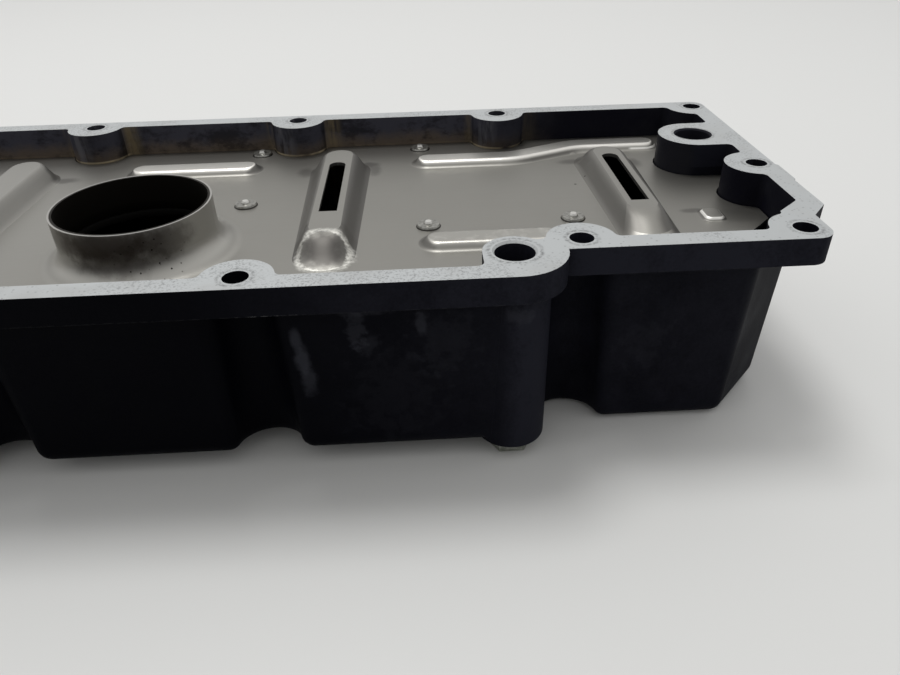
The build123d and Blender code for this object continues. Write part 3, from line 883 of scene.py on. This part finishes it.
def oil_dots(tree, place, torn):
    """A mask of dark dots, close together in a splash by the collar and rare elsewhere."""
    splash = smudge(tree, place, torn, SPLASH)
    specks = effect(tree, "Specks", Place=place, Scale=800.0, Share=0.30, Size=0.26)["Mask"]
    stray = effect(tree, "Specks", Place=place, Scale=210.0, Share=0.012, Size=0.12)["Mask"]
    return compute(tree, "MAXIMUM", both(tree, specks, splash), stray)


def rolled_sheet(finish):
    """Satin steel sheet with rolling grain, painted highlights on its beads, toe and dimple, painted
    shade on its hood flanks, and stained on its collar.
    """
    material, tree, shader = new_material("Rolled steel sheet")
    at = read_surface(tree)
    at.sideways = compute(tree, "ABSOLUTE", at.normal_x)
    torn = torn_value(tree, at.place)
    radius = plan_distance(tree, at.place, COLLAR)
    bore = (COLLAR_BORE_RADIUS, COLLAR_BORE_RADIUS + 0.3)
    throat = fall_mm(tree, radius, *bore)
    within_foot = fall_mm(tree, radius, COLLAR_FOOT_RADIUS, COLLAR_FOOT_RADIUS + 1.0)
    on_collar = both(tree, within_foot, rise_mm(tree, radius, *bore))
    off_collar = fall(tree, on_collar, 0.4, 0.6)

    colour, flank = pressed_marks(tree, at, finish, off_collar)
    from_toe = plan_distance(tree, at.place, TOE)
    crests = bead_crests(tree, at, from_toe, off_collar)
    # the bead crests are painted bright as a highlight, patchy, and brighter towards the far side
    far_part = rise_mm(tree, at.y, -25.0, 20.0)
    rubbed = slide(tree, torn, slide(tree, far_part, 0.35, 0.85), 1.0)
    crest_highlight = blend(tree, far_part, NEAR_BEAD_HIGHLIGHT, FAR_BEAD_HIGHLIGHT)
    colour = blend(tree, both(tree, crests, rubbed), colour, crest_highlight)
    # dark patches, those by the hoods' far corners being painted dark reflections
    for patch in SHEET_SMUDGES_AND_REFLECTIONS:
        colour = blend(tree, smudge(tree, at.place, torn, patch), colour, SMUDGE_AND_REFLECTION_SHEET)
    torn_toe = compute(tree, "ADD", from_toe, both(tree, torn, 2.2 * MM))
    colour, toe_middle = toe_marks(tree, at, colour, torn_toe, off_collar)
    # the dimple's lip is painted bright as a highlight
    lip = both(
        tree,
        rise_mm(tree, at.x, DIMPLE_START, DIMPLE_START + 2.0),
        above(tree, at.z, SHEET_TOP, *LIP_CLIMB),
        below(tree, at.z, SHEET_TOP, *LIP_DROP),
    )
    colour = blend(tree, lip, colour, DIMPLE_LIP_HIGHLIGHT)
    colour = collar_marks(tree, at, finish, colour, radius, on_collar, torn)
    colour = blend(tree, oil_dots(tree, at.place, torn), colour, OIL_DOT)
    # the inside of the collar's bore is painted dark as shade
    colour = blend(tree, throat, colour, COLLAR_THROAT_SHADE)
    tree.links.new(colour, shader.inputs["Base Color"])
    shader.inputs["Metallic"].default_value = 1.0

    grain = streaked_noise(tree, at.place, (40.0, 3000.0, 400.0), 3.0, 0.6)
    rough = slide(tree, grain, 0.38, 0.46)
    rough = slide(tree, crests, rough, 0.33)
    rough = slide(tree, on_collar, rough, 0.42)
    rough = slide(tree, compute(tree, "MAXIMUM", flank, toe_middle), rough, 0.52)
    tree.links.new(slide(tree, throat, rough, 0.6), shader.inputs["Roughness"])
    scratches = effect(tree, "Fine scratches", Place=at.place, Scale=0.7)["Height"]
    height = compute(tree, "ADD", both(tree, grain, 0.6), both(tree, scratches, 0.3))
    add_relief(tree, shader, height, 0.012 * MM, 0.5)
    return material


def bare_steel(name, colour, roughness, mark_colour):
    """Small steel or copper piece with a cloudy, marked surface."""
    material, tree, shader = new_material(name)
    place = tree.nodes.new("ShaderNodeTexCoord").outputs["Object"]
    cloud = rise(tree, noise(tree, place, 260.0, 4.0, 0.6), 0.38, 0.68)
    wear = effect(tree, "Edge wear", Place=place, Width=0.0004, Amount=0.8)["Mask"]
    base = blend(tree, cloud, colour, mark_colour)
    brighter = tuple(min(1.0, 1.5 * value) for value in colour)
    tree.links.new(blend(tree, wear, base, brighter), shader.inputs["Base Color"])
    rough = slide(tree, cloud, roughness, roughness + 0.15)
    tree.links.new(rough, shader.inputs["Roughness"])
    shader.inputs["Metallic"].default_value = 1.0
    add_relief(tree, shader, cloud, 0.03 * MM, 0.5)
    return material


def rivet_steel():
    """Rivet heads with a painted highlight on the dome and a painted shadow round the foot."""
    material, tree, shader = new_material("Rivet steel")
    at = read_surface(tree)
    cloud = rise(tree, noise(tree, at.place, 900.0, 3.0, 0.6), 0.38, 0.68)
    head = blend(tree, cloud, RIVET_HEAD, RIVET_MARK)
    # painted shadow round the foot and painted highlight on the dome
    colour = blend(tree, above(tree, at.z, SHEET_TOP, *RIVET_EDGE), RIVET_FOOT_SHADOW, head)
    colour = blend(tree, above(tree, at.z, SHEET_TOP, *RIVET_CROWN), colour, RIVET_DOME_HIGHLIGHT)
    tree.links.new(colour, shader.inputs["Base Color"])
    shader.inputs["Roughness"].default_value = 0.38
    shader.inputs["Metallic"].default_value = 1.0
    add_relief(tree, shader, cloud, 0.03 * MM, 0.5)
    return material


def floor_material(colour):
    """Plain pale floor."""
    material, _, shader = new_material("Pale floor")
    shader.inputs["Base Color"].default_value = rgba(colour)
    shader.inputs["Roughness"].default_value = 0.5
    shader.inputs["Specular IOR Level"].default_value = 0.3
    return material


# the stage


def add_floor(stage):
    mesh = bpy.data.meshes.new("floor")
    square = bmesh.new()
    bmesh.ops.create_grid(square, x_segments=1, y_segments=1, size=stage.floor_size / 2)
    square.to_mesh(mesh)
    square.free()
    floor = bpy.data.objects.new("floor", mesh)
    floor.data.materials.append(floor_material(stage.floor_colour))
    bpy.context.scene.collection.objects.link(floor)


def add_lamp(name, power, size, place, target):
    """A square soft lamp that faces a point."""
    lamp = bpy.data.lights.new(name, "AREA")
    lamp.shape = "SQUARE"
    lamp.size = size
    lamp.energy = power
    holder = bpy.data.objects.new(name, lamp)
    holder.location = place
    facing = Vector(target) - Vector(place)
    holder.rotation_euler = facing.to_track_quat("-Z", "Y").to_euler()
    bpy.context.scene.collection.objects.link(holder)


def add_sky(strength):
    """A white sky, brighter high up and behind the pan; the camera sees a plain pale one."""
    world = bpy.data.worlds.new("Soft sky")
    world.use_nodes = True
    tree = world.node_tree
    tree.nodes.clear()
    plain = {"Color": rgba(SEEN_SKY), "Strength": SEEN_SKY_STRENGTH}
    seen = add_node(tree, "ShaderNodeBackground", plain)
    where = tree.nodes.new("ShaderNodeTexCoord")
    towards_bright = add_node(
        tree,
        "ShaderNodeVectorMath",
        {0: where.outputs["Generated"], 1: BRIGHT_SKY_SIDE},
        operation="DOT_PRODUCT",
    ).outputs["Value"]
    glow = slide(tree, rise(tree, towards_bright, -0.75, 0.55), DIM_SKY_SHARE, 1.0)
    lighting = {"Color": (1.0, 1.0, 1.0, 1.0), "Strength": both(tree, glow, strength)}
    light = add_node(tree, "ShaderNodeBackground", lighting)
    path = tree.nodes.new("ShaderNodeLightPath")
    choice = {0: path.outputs["Is Camera Ray"], 1: light.outputs[0], 2: seen.outputs[0]}
    mix = add_node(tree, "ShaderNodeMixShader", choice)
    output = tree.nodes.new("ShaderNodeOutputWorld")
    tree.links.new(mix.outputs[0], output.inputs["Surface"])
    bpy.context.scene.world = world


def add_camera(stage):
    """The camera, set by the stage's own properties."""
    camera = bpy.data.cameras.new("camera")
    camera.sensor_width = PICTURE_WIDTH
    camera.lens = stage.camera_lens
    camera.clip_start = CAMERA_NEAR_LIMIT
    holder = bpy.data.objects.new("camera", camera)
    holder.location = stage.camera_place
    holder.rotation_euler = Euler(stage.camera_turn, "XYZ")
    bpy.context.scene.collection.objects.link(holder)
    bpy.context.scene.camera = holder


# operators


class OILPAN_OT_casting(bpy.types.Operator):
    """Coat the casting and bare its machined faces"""

    bl_idname = "oilpan.casting"
    bl_label = "Casting"

    def execute(self, context):
        dress("pan_casting", coated_casting(context.scene.pan_finish))
        return {"FINISHED"}


class OILPAN_OT_baffle(bpy.types.Operator):
    """Finish the pressed baffle sheet"""

    bl_idname = "oilpan.baffle"
    bl_label = "Baffle"

    def execute(self, context):
        dress("baffle_plate", rolled_sheet(context.scene.pan_finish))
        return {"FINISHED"}


class OILPAN_OT_rivets(bpy.types.Operator):
    """Finish the baffle's rivets"""

    bl_idname = "oilpan.rivets"
    bl_label = "Rivets"

    def execute(self, context):
        dress("baffle_rivets", rivet_steel())
        return {"FINISHED"}


class OILPAN_OT_plugs(bpy.types.Operator):
    """Finish the plugs of the oil passages and the drain, and the drain's washer"""

    bl_idname = "oilpan.plugs"
    bl_label = "Plugs"

    def execute(self, context):
        finish = context.scene.pan_finish
        zinc = bare_steel("Dull zinc", finish.plug_colour, 0.5, ZINC_MARK)
        dress("passage_plugs", zinc)
        dress("drain_plug", zinc)
        copper = bare_steel("Copper", finish.copper_colour, 0.35, COPPER_MARK)
        dress("drain_washer", copper)
        return {"FINISHED"}


class OILPAN_OT_stage(bpy.types.Operator):
    """Set the floor, the soft lamp, the sky and the camera"""

    bl_idname = "oilpan.stage"
    bl_label = "Stage"

    def execute(self, context):
        stage = context.scene.pan_stage
        add_floor(stage)
        add_lamp("window_lamp", stage.window_power, LAMP_SIZE, LAMP_PLACE, LAMP_TARGET)
        add_sky(stage.sky_strength)
        add_camera(stage)
        context.scene.view_settings.view_transform = "Standard"
        return {"FINISHED"}


class OILPAN_PT_panel(bpy.types.Panel):
    """Lists the pieces and their settings"""

    bl_idname = "OILPAN_PT_panel"
    bl_label = "Oil pan"
    bl_space_type = "VIEW_3D"
    bl_region_type = "UI"
    bl_category = "Oil Pan"

    def draw(self, context):
        layout = self.layout
        for group in (context.scene.pan_finish, context.scene.pan_stage):
            for name in type(group).__annotations__:
                layout.prop(group, name)
        for operator in OPERATORS:
            layout.operator(operator.bl_idname)


OPERATORS = (
    OILPAN_OT_casting,
    OILPAN_OT_baffle,
    OILPAN_OT_rivets,
    OILPAN_OT_plugs,
    OILPAN_OT_stage,
)
CLASSES = (PanFinish, PanStage, *OPERATORS, OILPAN_PT_panel)


def register():
    for item in CLASSES:
        bpy.utils.register_class(item)
    bpy.types.Scene.pan_finish = bpy.props.PointerProperty(type=PanFinish)
    bpy.types.Scene.pan_stage = bpy.props.PointerProperty(type=PanStage)


def unregister():
    del bpy.types.Scene.pan_stage
    del bpy.types.Scene.pan_finish
    for item in reversed(CLASSES):
        bpy.utils.unregister_class(item)


def main():
    register()
    bpy.ops.oilpan.casting()
    bpy.ops.oilpan.baffle()
    bpy.ops.oilpan.rivets()
    bpy.ops.oilpan.plugs()
    bpy.ops.oilpan.stage()


if __name__ == "__main__":
    main()
